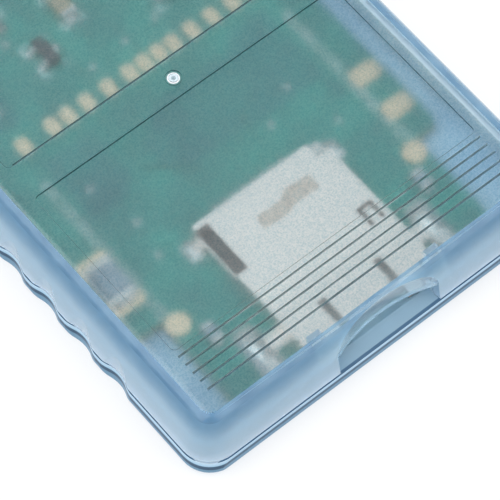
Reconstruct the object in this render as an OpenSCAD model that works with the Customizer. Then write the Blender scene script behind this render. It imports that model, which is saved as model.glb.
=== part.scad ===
// Memory card adapter: a translucent two-part case in the outline of a console
// memory card, holding a circuit board with contact strips at one end and a
// push-push socket for a small flash card at the other.
// Frame: +X across the width, +Y towards the contact end, +Z up through the
// label face, origin at the centre of the underside. Millimetres.

/* [Casing] */
// Length of the case, slot end to contact end
body_l = 63.9; // [60:0.1:70]
// Width of the case at the parting line
body_w = 42.4; // [38:0.1:48]
// Thickness of the case
body_h = 7.8; // [7.6:0.1:9]
// Height of the parting line between the two shells
parting_z = 2.3; // [2.2:0.05:2.5]
// Thickness of the side and end walls
wall_t = 1.8; // [1.7:0.05:2]
// Thickness of the floor of the lower shell
floor_t = 1; // [0.8:0.05:1.1]
// Thickness of the roof of the upper shell
roof_t = 1.3; // [1.1:0.05:1.5]
// Plan radius of the two corners at the slot end
front_corner_r = 3; // [3:0.1:3.5]
// Plan radius of the two corners at the contact end
rear_corner_r = 3; // [3:0.1:3.5]
// How far the walls of the upper shell lean in at the top
wall_lean = 1.05; // [0.8:0.05:1.15]
// Radius along the upper edges
top_edge_r = 2.1; // [1.6:0.05:2.15]
// Radius along the lower edges
bottom_edge_r = 0.6; // [0.3:0.05:0.8]
// How far the lower shell is cut back at the underside of the slot end
end_cut_back = 0.2; // [0.1:0.05:0.5]

/* [Lip joint between the shells] */
// Height of the lip above the parting line
lip_h = 1.9; // [1.5:0.05:2]
// Thickness of the lip
lip_t = 0.6; // [0.5:0.05:0.7]
// Clearance between the lip and its rebate
lip_gap = 0.1; // [0.05:0.01:0.15]

/* [Seam groove above the parting line] */
// Height of the groove between the shells
seam_h = 0.25; // [0.15:0.05:0.3]
// Depth of the groove between the shells
seam_d = 0.25; // [0.1:0.05:0.3]

/* [Grip flutes on the left side] */
// Distance between flutes
flute_pitch = 5; // [4.6:0.1:6]
// Depth of a flute
flute_depth = 0.5; // [0.2:0.05:0.6]
// Number of flutes
flute_count = 6; // [3:1:7]
// Distance of the first flute from the slot end
flute_back = 12.55; // [11:0.05:14]

/* [Label face] */
// Distance of both recessed label panels from the sides of the case
panel_margin = 3.85; // [3.6:0.05:5]
// Depth of the label panels
panel_d = 0.2; // [0.1:0.05:0.3]
// Distance of the near panel from the slot end
panel_a_back = 8.9; // [8.7:0.05:11]
// Far edge of that panel, measured from the middle of the case
panel_a_y1 = -3.35; // [-5:0.05:-2.5]
// Near edge of the second panel, measured from the middle of the case
panel_b_y0 = 0.45; // [0.3:0.05:3]
// Distance of the second panel from the contact end
panel_b_back = 9.95; // [9:0.05:14]
// Corner radius of the panels
panel_r = 0.5; // [0.3:0.1:1]
// Place of the mould gate mark along the length
gate_y = -1.5; // [-1.8:0.05:-1.2]
// Diameter of the gate mark
gate_d = 1.6; // [1.2:0.1:1.8]
// Number of decoration grooves
groove_count = 5; // [3:1:5]
// Distance between grooves
groove_pitch = 1; // [0.8:0.05:1.1]
// Width of a groove
groove_w = 0.16; // [0.14:0.01:0.25]
// Depth of a groove
groove_d = 0.3; // [0.2:0.01:0.35]
// Distance of the groove nearest the panel from the slot end
groove_back = 8.25; // [8:0.05:8.4]

/* [Card notch and slot] */
// Width of the notch and of the card slot behind it
notch_w = 11.6; // [11.4:0.1:11.8]
// Depth of the notch at its middle
notch_d = 1.65; // [1.3:0.05:1.7]
// Radius of the notch's arched back
notch_r = 16; // [15:1:20]
// Thickness of the wall round the notch
notch_wall_t = 1; // [0.8:0.05:1.1]
// Width of the two posts that flank the socket's mouth
post_w = 1.4; // [1:0.1:1.5]
// Distance of the posts from the sides of the notch
post_clear = 0.2; // [0.15:0.05:0.3]

/* [Contact mouth] */
// Clearance of the mouth beside the board's tongue
mouth_gap = 0.5; // [0.2:0.05:0.8]
// Top of the mouth above the underside
mouth_top_z = 5.6; // [5:0.1:5.8]
// Thickness of the ribs that divide the mouth
divider_t = 1; // [0.8:0.1:1.2]

/* [Circuit board] */
// Thickness of the board
board_t = 1; // [0.8:0.05:1.05]
// Gap under the board, the height of the seats it rests on
board_seat_h = 0.2; // [0.15:0.05:0.3]
// Room between the board and the side walls
board_side_gap = 1.85; // [1.6:0.05:2.3]
// How far the board is drawn in on each side beside the card socket
board_step_in = 2.75; // [2.5:0.05:3]
// Distance of that step from the slot end
board_step_back = 13.95; // [13.5:0.05:14.5]
// How far the tongue with the console contacts is drawn in on each side
tongue_in = 1.55; // [1.4:0.05:2.4]
// Distance of the start of the tongue from the contact end
tongue_back = 8.95; // [8.2:0.05:9.2]
// How far the board stays back from the slot end
board_front_back = 3.15; // [3:0.05:3.4]
// Clearance between the board's tongue and the end wall of the lower shell
board_end_gap = 0.2; // [0.1:0.05:0.4]
// Diameter of the locating pins
locating_pin_d = 1.6; // [1.2:0.1:2]
// Clearance round a locating pin
locating_gap = 0.1; // [0.05:0.01:0.15]
// Distance of the locating pins from the long edges of the board
locating_in = 2.15; // [2:0.05:2.8]
// Distance of the locating pins from the contact end
locating_back = 14.95; // [13.5:0.05:16]

/* [Console contacts] */
// Distance between contacts
contact_pitch = 3.4; // [3.2:0.1:3.5]
// Extra distance between the groups of contacts
contact_group_gap = 1.2; // [1:0.1:1.4]
// Width of a contact
contact_w = 2.4; // [1.8:0.1:2.5]
// Length of a contact
contact_l = 7; // [5:0.5:7.5]
// Thickness of the plating shown by a contact or pad
plate_t = 0.06; // [0.04:0.01:0.08]

/* [Card socket] */
// Width of the socket
socket_w = 14.7; // [14.5:0.1:15.2]
// Height of the socket
socket_h = 1.95; // [1.9:0.05:2]
// Near edge of the socket's main part, measured from the slot end
socket_front_back = 3.5; // [3.4:0.05:3.8]
// Length of the socket's main part
socket_l = 15.4; // [15.2:0.1:16]
// Thickness of the shield's sheet metal
sheet_t = 0.2; // [0.15:0.01:0.2]
// Width of the slits between the shield's tongues
slit_w = 0.8; // [0.5:0.05:1]
// Distance of the slits from the middle
slit_x = 3.2; // [3:0.1:3.4]
// Length of the slits
slit_l = 2.4; // [1.5:0.1:3]
// How far the side tongues reach past the main part
tongue_l = 1.5; // [0.6:0.05:1.6]
// Distance between the socket's spring contacts
pin_pitch = 1.1; // [1.05:0.01:1.12]
// Width of a spring contact
pin_w = 0.5; // [0.4:0.05:0.6]
// Thickness of a spring contact
pin_t = 0.15; // [0.12:0.01:0.15]

/* [Small flash card that the socket takes] */
// Width of the card
card_w = 11; // [10.9:0.1:11]
// Thickness of the card in the socket
card_t = 0.75; // [0.7:0.05:0.75]
// Clearance round the card
card_gap = 0.15; // [0.1:0.01:0.2]

/* [Push-push mechanism] */
// Travel of the slider from rest to its inner stop
slider_travel = 2.6; // [2:0.1:2.8]
// Width of the slider's rail
slider_w = 1.1; // [1:0.05:1.1]
// Diameter of the return spring
spring_d = 0.8; // [0.7:0.05:0.85]
// Diameter of the spring's wire
spring_wire_d = 0.12; // [0.1:0.01:0.14]
// Number of turns of the spring
spring_turns = 12; // [8:1:14]
// Running clearance of the slider
run_gap = 0.12; // [0.1:0.01:0.15]

/* [Hidden] */
// Facets on round forms
$fn = 48;
// How far a cut runs past a face that it opens
eps = 0.05;
// How far a leaning side runs inside the round edge that it meets
tangent_bite = 0.001;
half_l = body_l / 2;
half_w = body_w / 2;
roof_z = body_h - roof_t;
// Lip joint: the skin left outside the rebate
lip_top_z = parting_z + lip_h;
skin_t = wall_t - lip_t - lip_gap;
// Flutes: valleys and crests are arcs of one radius that meet in a wave, with the
// crests cut off a little by the face of the wall
flute_first_y = -half_l + flute_back;
flute_y0 = flute_first_y - flute_pitch / 2;
crest_over = 0.02;
wave_depth = flute_depth + crest_over;
wave_r = (pow(wave_depth, 2) + pow(flute_pitch / 2, 2)) / (4 * wave_depth);
valley_x = -half_w + flute_depth - wave_r;
crest_x = -half_w - crest_over + wave_r;
// Inside of the upper shell: its walls lean less than outside, so they thin towards
// the roof
inner_lean = 0.25 * wall_lean;
inner_corner_r = 1.6;
inner_edge_r = 0.8;
least_corner_r = 0.4;
// Label face
panel_x = half_w - panel_margin;
panel_a_y0 = -half_l + panel_a_back;
panel_b_y1 = half_l - panel_b_back;
groove_y0 = -half_l + groove_back;
gate_d_core = gate_d * 0.55;
gate_depth = 0.15;
gate_core_depth = 0.02;
// Notch at the slot end
notch_back_y = -half_l + notch_d;
notch_x = notch_w / 2;
notch_room_y = -half_l + wall_t - lip_t;
slot_seam = 0.05;
// Circuit board
board_z = floor_t + board_seat_h;
board_top_z = board_z + board_t;
board_x = half_w - wall_t - board_side_gap;
board_front_x = board_x - board_step_in;
board_rear_x = board_x - tongue_in;
board_y0 = -half_l + board_front_back;
board_y1 = half_l - wall_t - board_end_gap;
board_step_y = -half_l + board_step_back;
board_rear_y = half_l - tongue_back;
board_gap = 0.1;
board_front_r = 0.6;
board_main_r = 0.8;
board_rear_r = 0.5;
seat_w = 1;
seat_in = 1.6;
seat_end = 1;
mouth_x = board_rear_x + mouth_gap;
locating_x = board_x - locating_in;
locating_y = half_l - locating_back;
locating_pin_top = 0.9;
locating_bore_top = 1.2;
boss_wall = 0.8;
// Console contacts
contact_end_gap = 0.4;
contact_y1 = board_y1 - contact_end_gap;
contact_y0 = contact_y1 - contact_l;
// Card socket
socket_y0 = -half_l + socket_front_back;
socket_y1 = socket_y0 + socket_l;
socket_top_z = board_top_z + socket_h;
socket_x = socket_w / 2;
inner_x = socket_x - sheet_t;
inner_top_z = socket_top_z - sheet_t;
shield_z = board_top_z + 0.1;
base_floor_t = 0.35;
base_wall_t = 0.95;
base_floor_z = board_top_z + base_floor_t;
base_top_z = inner_top_z - 0.05;
base_y0 = socket_y0 + 0.1;
base_y1 = socket_y1 - 0.2;
base_x = inner_x - 0.05;
card_top_gap = 0.3;
card_z = inner_top_z - card_t - card_top_gap;
path_x = card_w / 2 + card_gap;
slot_top_z = socket_top_z + 0.3;
// Windows of the shield
slider_window_l = 5.8;
slider_window_w = 1.1;
slider_window_back = 0.6;
slider_window_d = 0.8;
corner_step = 1.4;
corner_step_l = 1.7;
corner_step_d = 0.9;
arm_window_w = 1.7;
arm_window_l = 2.2;
arm_window_x = socket_x - 0.6 - arm_window_w;
arm_window_y = socket_y0 + 5.2;
arm_cut = 0.4;
// Slider, at rest with its spring relaxed
slider_x0 = -inner_x + run_gap;
slider_x1 = slider_x0 + slider_w;
slider_z = base_floor_z + 0.06;
slider_top_z = inner_top_z - 0.35;
arm_l = 0.9;
arm_reach = 2.4;
arm_end_x = -path_x + arm_reach;
arm_y1 = base_y1 - base_wall_t - slider_travel - run_gap;
arm_y0 = arm_y1 - arm_l;
cam_l = 4.6;
cam_y0 = base_y0 + 1.2;
cam_y1 = cam_y0 + cam_l;
rail_floor_z = slider_z + 0.3;
// Track for the hairpin and the heart beside it
track_w = 0.36;
track_depth = 0.5;
track_x0 = slider_x0 + 0.15;
heart_w = 0.2;
heart_l = 1.1;
pin_wire_d = 0.24;
pin_x0 = track_x0 + track_w / 2;
pin_tip_y = cam_y1 - 0.6;
pin_root_y = base_y0 + 0.5;
pin_z = inner_top_z - pin_wire_d / 2 - 0.04;
pin_foot_z = base_floor_z + 0.2;
pin_tip_gap = 0.12;
// Return spring
spring_x = slider_x0 + spring_d / 2 + 0.1;
spring_z = inner_top_z - 0.1 - spring_d / 2;
spring_y0 = cam_y1;
spring_y1 = base_y1 - base_wall_t;
spring_seat_gap = 0.02;
// Spring contacts: where the arm starts to rise, and where it meets the card
arm_root_y = base_y1 - base_wall_t - slider_travel - arm_l - 1.2;
arm_tip_y = arm_root_y - 2.4;
tail_l = 0.9;
// Pocket in the right rail and the leaf that senses the card
detect_x = path_x + 0.55;
detect_y0 = base_y1 - 5.4;
detect_y1 = base_y1 - 1.4;
detect_t = 0.12;
// Shield tabs and the pads that they are soldered to
tab_w = 1.8;
tab_front_y = socket_y0 + 2.6;
tab_rear_y = socket_y1 - 1.2;
pad_front_l = 5.6;
pad_front_w = 2.4;
pad_x = socket_x + 2.65;
pad_rear_l = 2.2;
pad_rear_w = 1.4;
pad_rear_x = socket_x + 0.9;
solder_front_h = 0.55;
solder_rear_h = 0.4;
// Plated pads: the row across the board, placed from the middle of the case
programming_xs = [-13.2, -9.9, -8.1, -5.9, -3.4, -0.9, 0.8, 2.5, 4.2, 6.4, 8.8, 11.2, 13.2];
programming_y = 3.9;
programming_w = 1.3;
programming_l = 1.9;
// Round pads beside the socket and pads at the long edges of the board
round_pad_x = board_front_x - 1;
round_pad_y = board_step_y - 1.1;
round_pad_d = 2.3;
side_pad_x = board_x - 1.75;
side_pad_w = 3;
side_pad_l = 2;
side_pad_ys = [board_step_y + 3.6, board_step_y + 8.1];
// Chip parts: width, length, height and length of the metal caps
small_chip = [1.25, 2, 0.8, 0.45];
large_chip = [1.6, 3.2, 1.2, 0.55];
resistor_chip = [0.8, 1.6, 0.45, 0.3];
fuse_chip = [2.6, 4.6, 0.7, 0.7];
chip_waist = 0.04;
small_chip_x = board_front_x - 2.6;
small_chip_y = board_step_y - 3.9;
large_chip_y = contact_y0 - 9.05;
output_x = -1.5;
input_x = 4.5;
resistor_x0 = -12;
resistor_pitch = 1.6;
resistor_y = contact_y0 - 7.05;
// Moulded parts: width, length and height of the body, then number of leads on the
// left and on the right, their pitch, width and length
transistor_at = [-5.7, contact_y0 - 12.15];
transistor_body = [1.3, 2.9, 1];
transistor_leads = [2, 1, 1.9, 0.42, 0.6];
regulator_at = [9, contact_y0 - 11.55];
regulator_body = [3.5, 6.5, 1.6];
regulator_leads = [3, 1, 2.3, 0.7, 1.4];
shifter_at = [-9.5, contact_y0 - 3.3];
shifter_body = [4.4, 5, 1.1];
shifter_leads = [7, 7, 0.65, 0.24, 1];
lead_t = 0.13;
body_lift = 0.1;
// Console contacts stand in groups of two, three and three
function group_of(i) = (i > 1 ? 1 : 0) + (i > 4 ? 1 : 0);
function contact_x(i) = (i - 3.5) * contact_pitch + (group_of(i) - 1) * contact_group_gap;
function divider_x(k) = (contact_x(k) + contact_x(k + 1)) / 2;
function pin_x(i) = (i - 3.5) * pin_pitch;
// Colours
shell_blue = [0.45, 0.66, 0.8, 0.55];
board_green = [0.12, 0.48, 0.4];
gold = [0.85, 0.7, 0.35];
tin = [0.8, 0.8, 0.78];
sheet_metal = [0.76, 0.78, 0.79];
black_plastic = [0.1, 0.1, 0.11];
brown_plastic = [0.35, 0.28, 0.26];
ceramic = [0.45, 0.42, 0.38];

// Plain forms

// Box given by its two far corners
module span(a, b) {
    translate(a) cube(b - a);
}

// Rectangle in plan with one corner radius at the slot end and one at the contact end
module plan_rect(x, y0, y1, r0, r1) {
    for (side = [-1, 1]) {
        translate([side * (x - r0), y0 + r0]) circle(r = r0);
        translate([side * (x - r1), y1 - r1]) circle(r = r1);
    }
    translate([-(x - r0), y0]) square([2 * (x - r0), r0 + eps]);
    translate([-x, y0 + r0]) square([2 * x, y1 - y0 - r0 - r1]);
    translate([-(x - r1), y1 - r1 - eps]) square([2 * (x - r1), r1 + eps]);
}

// Rounded rectangle with one radius
module round_rect(x, y0, y1, r) {
    plan_rect(x, y0, y1, r, r);
}

// Outline of the case in plan, drawn in by an inset
module case_outline(inset) {
    plan_rect(
        half_w - inset,
        -half_l + inset,
        half_l - inset,
        max(front_corner_r - inset, least_corner_r),
        max(rear_corner_r - inset, least_corner_r)
    );
}

// Half section of a wall that leans in above the foot and ends in a round edge.
// Measured from the foot of the side, so that every bar and corner shares the same
// outline. A leaning side runs a hair inside the round, so that the two cross.
module wall_section(half, foot_z, top_z, lean, r) {
    rise = top_z - foot_z;
    slope = sqrt(rise * rise + lean * lean);
    centre_z = top_z - r;
    centre_x = -lean * (centre_z - foot_z) / rise - r * slope / rise;
    touch_r = r - (lean > 0 ? tangent_bite : 0);
    touch_x = centre_x + touch_r * rise / slope;
    touch_z = centre_z + touch_r * lean / slope;
    translate([half, 0]) {
        intersection() {
            translate([centre_x, centre_z]) circle(r = r);
            translate([centre_x, centre_z]) square(2 * r);
        }
        polygon([[-half, foot_z], [0, foot_z], [touch_x, touch_z], [centre_x, top_z], [-half, top_z]]);
    }
}

// Block with leaning walls, round plan corners and a round upper edge: two
// crossed bars and a turned piece in each corner
module leaning_block(x, y, front_r, rear_r, foot_z, top_z, lean, r) {
    translate([0, y - rear_r, 0]) rotate([90, 0, 0]) linear_extrude(2 * y - front_r - rear_r) {
        wall_section(x, foot_z, top_z, lean, r);
        mirror([1, 0]) wall_section(x, foot_z, top_z, lean, r);
    }
    for (end = [1, -1]) {
        corner_r = end > 0 ? rear_r : front_r;
        translate([-end * (x - corner_r), end * (y - corner_r), 0]) rotate([90, 0, 90 * end])
            linear_extrude(2 * (x - corner_r)) wall_section(corner_r, foot_z, top_z, lean, r);
        for (side = [1, -1]) {
            turn = end > 0 ? (side > 0 ? 0 : 90) : (side > 0 ? -90 : 180);
            translate([side * (x - corner_r), end * (y - corner_r), 0]) rotate([0, 0, turn])
                rotate_extrude(angle = 90) wall_section(corner_r, foot_z, top_z, lean, r);
        }
    }
}

// Plan of what the flutes take off the left side, drawn in by an inset
module flute_wave(inset) {
    meet_x = valley_x + (crest_x - valley_x) * (wave_r + inset) / (2 * wave_r);
    difference() {
        translate([-half_w - 1, flute_y0]) square([meet_x + half_w + 1, flute_count * flute_pitch]);
        for (k = [0 : flute_count]) {
            translate([crest_x, flute_y0 + k * flute_pitch]) circle(r = wave_r - inset);
        }
    }
    for (k = [0 : flute_count - 1]) {
        translate([valley_x, flute_first_y + k * flute_pitch])
            circle(r = wave_r + inset + tangent_bite);
    }
}

// Upright cutter for the flutes, which run out where the leaning wall is further in
module flute_cutter(z0, z1) {
    translate([0, 0, z0]) linear_extrude(z1 - z0) flute_wave(0);
}

// Disc whose rim is the arched back of the notch, grown inwards by t
module notch_arch(t, z0, z1) {
    translate([0, notch_back_y - notch_r, z0]) cylinder(r = notch_r + t, h = z1 - z0, $fn = 96);
}

// Casing

module top_shell() {
    color(shell_blue) {
        difference() {
            union() {
                difference() {
                    leaning_block(half_w, half_l, front_corner_r, rear_corner_r,
                        parting_z, body_h, wall_lean, top_edge_r);
                    leaning_block(half_w - wall_t, half_l - wall_t, inner_corner_r, inner_corner_r,
                        parting_z - eps, roof_z, inner_lean, inner_edge_r);
                    lip_rebate();
                }
                notch_wall();
                notch_posts();
                locating_bosses();
                mouth_dividers();
            }
            flute_cutter(parting_z - eps, body_h);
            label_panels();
            grooves();
            gate_mark();
            seam_groove();
            card_notch();
            contact_mouth();
            locating_bores();
        }
    }
}

module lip_rebate() {
    translate([0, 0, parting_z - eps])
        linear_extrude(lip_h + lip_gap + eps) case_outline(skin_t);
}

// Groove round the foot of the upper shell, which follows the flutes
module seam_groove() {
    translate([0, 0, parting_z - eps]) linear_extrude(seam_h + eps) difference() {
        square([2 * body_w, 2 * body_l], center = true);
        difference() {
            case_outline(seam_d);
            flute_wave(seam_d);
        }
    }
}

module label_panels() {
    translate([0, 0, body_h - panel_d]) linear_extrude(panel_d + eps) {
        round_rect(panel_x, panel_a_y0, panel_a_y1, panel_r);
        round_rect(panel_x, panel_b_y0, panel_b_y1, panel_r);
    }
}

// Deep decoration grooves with a round bottom across the face
module grooves() {
    r = groove_w / 2;
    for (k = [0 : groove_count - 1]) {
        translate([0, groove_y0 - k * groove_pitch, body_h - groove_d + r]) {
            rotate([0, 90, 0]) cylinder(r = r, h = 2 * panel_x, center = true);
            span([-panel_x, -r, 0], [panel_x, r, groove_d]);
        }
    }
}

// Ring-shaped mark left by the mould gate
module gate_mark() {
    translate([0, gate_y, body_h - gate_depth]) difference() {
        cylinder(d = gate_d, h = gate_depth + eps);
        translate([0, 0, -eps]) cylinder(d = gate_d_core, h = gate_depth - gate_core_depth + eps);
    }
}

// Notch for the fingertip, open from the roof down to the lower shell
module card_notch() {
    intersection() {
        notch_arch(0, parting_z - eps, body_h + eps);
        span([-notch_x, -half_l - 1, 0], [notch_x, 0, body_h + 1]);
    }
    span([-notch_x, -half_l - 1, parting_z - eps], [notch_x, socket_y0 - slot_seam, slot_top_z]);
}

// Wall behind the notch, above the slot
module notch_wall() {
    intersection() {
        notch_arch(notch_wall_t, slot_top_z, roof_z + eps);
        span([-notch_x - post_w, notch_room_y, slot_top_z], [notch_x + post_w, 0, roof_z + eps]);
    }
}

// Posts beside the mouth of the socket, stepped back from the lip
module notch_posts() {
    for (side = [-1, 1]) {
        mid_x = side * (notch_x + post_clear + post_w / 2);
        span(
            [mid_x - post_w / 2, notch_room_y, lip_top_z + lip_gap],
            [mid_x + post_w / 2, board_y0 - board_gap, roof_z + eps]
        );
        span(
            [mid_x - post_w / 2, -half_l + wall_t + board_gap, parting_z + board_gap],
            [mid_x + post_w / 2, board_y0 - board_gap, lip_top_z + lip_gap + eps]
        );
    }
}

module locating_bosses() {
    for (side = [-1, 1]) {
        translate([side * locating_x, locating_y, board_top_z + board_gap])
            cylinder(r = locating_pin_d / 2 + boss_wall, h = roof_z - board_top_z - board_gap + eps);
    }
}

module locating_bores() {
    for (side = [-1, 1]) {
        translate([side * locating_x, locating_y, board_top_z])
            cylinder(r = locating_pin_d / 2 + locating_gap, h = locating_bore_top);
    }
}

module contact_mouth() {
    difference() {
        span([-mouth_x, half_l - wall_t - 1, parting_z - eps], [mouth_x, half_l + 1, mouth_top_z]);
        mouth_dividers();
    }
}

module mouth_dividers() {
    for (k = [1, 4]) {
        span(
            [divider_x(k) - divider_t / 2, board_rear_y + 1, board_top_z + board_gap],
            [divider_x(k) + divider_t / 2, half_l - wall_lean, roof_z + eps]
        );
    }
}

module bottom_shell() {
    color(shell_blue) {
        difference() {
            union() {
                difference() {
                    bottom_body();
                    translate([0, 0, floor_t]) linear_extrude(parting_z) case_outline(wall_t);
                }
                lip();
                board_seats();
                locating_pins();
            }
            flute_cutter(-eps, parting_z + eps);
            bottom_notch();
            bottom_mouth();
        }
    }
}

// Lower shell with a round along its bottom edges, cut back under the slot end
module bottom_body() {
    difference() {
        mirror([0, 0, 1])
            leaning_block(half_w, half_l, front_corner_r, rear_corner_r, -parting_z, 0, 0, bottom_edge_r);
        translate([-body_w, 0, 0]) rotate([90, 0, 90]) linear_extrude(2 * body_w) polygon([
            [-half_l - 1, parting_z], [-half_l, parting_z], [-half_l + end_cut_back, 0],
            [-half_l + end_cut_back, -1], [-half_l - 1, -1]
        ]);
    }
}

// Lip that stands inside the upper shell's rebate
module lip() {
    difference() {
        translate([0, 0, floor_t]) linear_extrude(lip_top_z - floor_t) case_outline(wall_t - lip_t);
        translate([0, 0, floor_t - eps]) linear_extrude(lip_top_z) case_outline(wall_t);
    }
}

// Clears the lip across the card slot and leaves the flat shelf under it
module bottom_notch() {
    span([-notch_x, -half_l - 1, parting_z], [notch_x, -half_l + wall_t + 1, lip_top_z + 1]);
}

// Clears the lip across the mouth
module bottom_mouth() {
    span([-mouth_x, half_l - wall_t - 1, parting_z], [mouth_x, half_l + 1, lip_top_z + 1]);
}

// Low rails under the board
module board_seats() {
    main_x = board_x - seat_in;
    front_x = board_front_x - seat_in;
    for (side = [-1, 1]) {
        span(
            [side * main_x - seat_w / 2, board_step_y + seat_end, floor_t - eps],
            [side * main_x + seat_w / 2, board_rear_y - seat_end, board_z]
        );
        span(
            [side * front_x - seat_w / 2, board_y0 + seat_end, floor_t - eps],
            [side * front_x + seat_w / 2, board_step_y - seat_end, board_z]
        );
    }
    span(
        [-board_rear_x + seat_end, board_rear_y + 2 * seat_end, floor_t - eps],
        [board_rear_x - seat_end, board_rear_y + 2 * seat_end + seat_w, board_z]
    );
    span(
        [-notch_x, board_y0 + seat_end, floor_t - eps],
        [notch_x, board_y0 + seat_end + seat_w, board_z]
    );
}

module locating_pins() {
    for (side = [-1, 1]) {
        translate([side * locating_x, locating_y, floor_t - eps])
            cylinder(d = locating_pin_d, h = board_top_z - floor_t + locating_pin_top + eps);
    }
}

// Circuit board

module circuit_board() {
    color(board_green) translate([0, 0, board_z]) linear_extrude(board_t) difference() {
        union() {
            round_rect(board_front_x, board_y0, board_step_y + 2 * board_main_r, board_front_r);
            round_rect(board_x, board_step_y, board_rear_y, board_main_r);
            round_rect(board_rear_x, board_rear_y - 2 * board_main_r, board_y1, board_rear_r);
        }
        for (side = [-1, 1]) {
            translate([side * locating_x, locating_y]) circle(r = locating_pin_d / 2 + locating_gap);
        }
    }
}

module console_contact(i) {
    color(gold) span(
        [contact_x(i) - contact_w / 2, contact_y0, board_top_z],
        [contact_x(i) + contact_w / 2, contact_y1, board_top_z + plate_t]
    );
}

// Flat pad with round corners on the board, centred at x and y
module pad(x, y, w, l) {
    translate([x, y, board_top_z]) linear_extrude(plate_t)
        round_rect(w / 2, -l / 2, l / 2, min(w, l) / 4);
}

module programming_pads() {
    color(gold) for (x = programming_xs) {
        pad(x, programming_y, programming_w, programming_l);
    }
}

module locating_pads() {
    color(gold) for (side = [-1, 1]) {
        translate([side * round_pad_x, round_pad_y, board_top_z]) cylinder(d = round_pad_d, h = plate_t);
    }
}

module side_pads() {
    color(gold) for (side = [-1, 1], y = side_pad_ys) {
        pad(side * side_pad_x, y, side_pad_w, side_pad_l);
    }
}

module socket_pads() {
    color(tin) for (side = [-1, 1]) {
        pad(side * pad_x, tab_front_y, pad_front_w, pad_front_l);
        pad(side * pad_rear_x, tab_rear_y, pad_rear_w, pad_rear_l);
    }
}

// Small surface-mounted parts

// Chip part lying along Y, its end caps proud of the middle; size is width, length,
// height and length of a cap
module chip(x, y, size) {
    z = board_top_z + plate_t;
    half_x = size[0] / 2;
    half_y = size[1] / 2;
    span(
        [x - half_x + chip_waist, y - half_y + size[3] - eps, z + chip_waist],
        [x + half_x - chip_waist, y + half_y - size[3] + eps, z + size[2] - chip_waist]
    );
    for (side = [-1, 1]) {
        mid_y = y + side * (half_y - size[3] / 2);
        span([x - half_x, mid_y - size[3] / 2, z], [x + half_x, mid_y + size[3] / 2, z + size[2]]);
    }
}

module side_fuse() {
    color(ceramic) chip(-side_pad_x, (side_pad_ys[0] + side_pad_ys[1]) / 2, fuse_chip);
}

module left_capacitor() {
    color(ceramic) chip(-small_chip_x, small_chip_y, small_chip);
}

module right_capacitor() {
    color(ceramic) chip(small_chip_x, small_chip_y, small_chip);
}

module input_capacitor() {
    color(ceramic) chip(input_x, large_chip_y, large_chip);
}

module output_capacitor() {
    color(ceramic) chip(output_x, large_chip_y, large_chip);
}

module pull_up_resistors() {
    color(black_plastic) for (k = [0 : 3]) {
        chip(resistor_x0 + resistor_pitch * k, resistor_y, resistor_chip);
    }
}

// Moulded package with bent leads standing out along X on both sides
module leaded_package(place, body, leads) {
    z = board_top_z;
    half_x = body[0] / 2;
    half_y = body[1] / 2;
    lead_w = leads[3];
    span(
        [place[0] - half_x, place[1] - half_y, z + body_lift],
        [place[0] + half_x, place[1] + half_y, z + body[2]]
    );
    for (side = [0, 1]) {
        count = leads[1 - side];
        for (k = [0 : count - 1]) {
            mid_y = place[1] + (k - (count - 1) / 2) * leads[2];
            translate([place[0], mid_y, z]) mirror([side, 0, 0]) translate([half_x, lead_w / 2, 0])
                rotate([90, 0, 0]) linear_extrude(lead_w) gull_wing(leads[4], body[2] / 2);
        }
    }
}

// Side view of a lead: out of the package, down, and flat on the board
module gull_wing(length, height) {
    polygon([
        [-eps, height], [length * 0.35, height], [length * 0.6, lead_t], [length, lead_t],
        [length, 0], [length * 0.5, 0], [length * 0.25, height - lead_t], [-eps, height - lead_t]
    ]);
}

module transistor() {
    color(black_plastic) leaded_package(transistor_at, transistor_body, transistor_leads);
}

module voltage_regulator() {
    color(black_plastic) leaded_package(regulator_at, regulator_body, regulator_leads);
}

module level_shifter() {
    color(black_plastic) leaded_package(shifter_at, shifter_body, shifter_leads);
}

// Card socket

module socket_shield() {
    color(sheet_metal) {
        difference() {
            span([-socket_x, socket_y0, shield_z], [socket_x, socket_y1, socket_top_z]);
            span([-inner_x, socket_y0 - eps, 0], [inner_x, socket_y1 + eps, inner_top_z]);
            shield_windows();
        }
        shield_tongues();
        shield_tabs();
    }
}

module shield_windows() {
    cut_z0 = inner_top_z - eps;
    cut_z1 = socket_top_z + eps;
    window_y1 = socket_y1 - slider_window_back;
    // Window over the slider at the left far corner
    span(
        [-socket_x - eps, window_y1 - slider_window_l, socket_top_z - slider_window_d],
        [-inner_x + slider_window_w, window_y1, cut_z1]
    );
    // Step in the right far corner
    span(
        [socket_x - corner_step, socket_y1 - corner_step_l, socket_top_z - corner_step_d],
        [socket_x + eps, socket_y1 + eps, cut_z1]
    );
    // Pressed spring arm over the card, cut free on three sides
    translate([arm_window_x, arm_window_y, cut_z0]) difference() {
        cube([arm_window_w, arm_window_l, sheet_t + 2 * eps]);
        translate([arm_cut, -eps, -eps])
            cube([arm_window_w - 2 * arm_cut, arm_window_l - arm_cut + eps, 1]);
    }
    // Slits between the tongues
    for (side = [-1, 1]) {
        span(
            [side * slit_x - slit_w / 2, socket_y0 - eps, cut_z0],
            [side * slit_x + slit_w / 2, socket_y0 + slit_l, cut_z1]
        );
    }
}

// Side tongues that reach into the case's slot and fold round under the card
module shield_tongues() {
    tongue_x0 = slit_x + slit_w / 2;
    tongue_x1 = path_x + sheet_t;
    tongue_y0 = socket_y0 - tongue_l;
    for (side = [0, 1]) mirror([side, 0, 0]) {
        span([tongue_x0, tongue_y0, inner_top_z], [tongue_x1, socket_y0 + eps, socket_top_z]);
        span([path_x, tongue_y0, shield_z], [tongue_x1, socket_y0 - sheet_t, socket_top_z]);
        span([tongue_x0 + sheet_t, tongue_y0, shield_z], [tongue_x1, tongue_y0 + sheet_t, card_z - 0.1]);
    }
}

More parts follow.
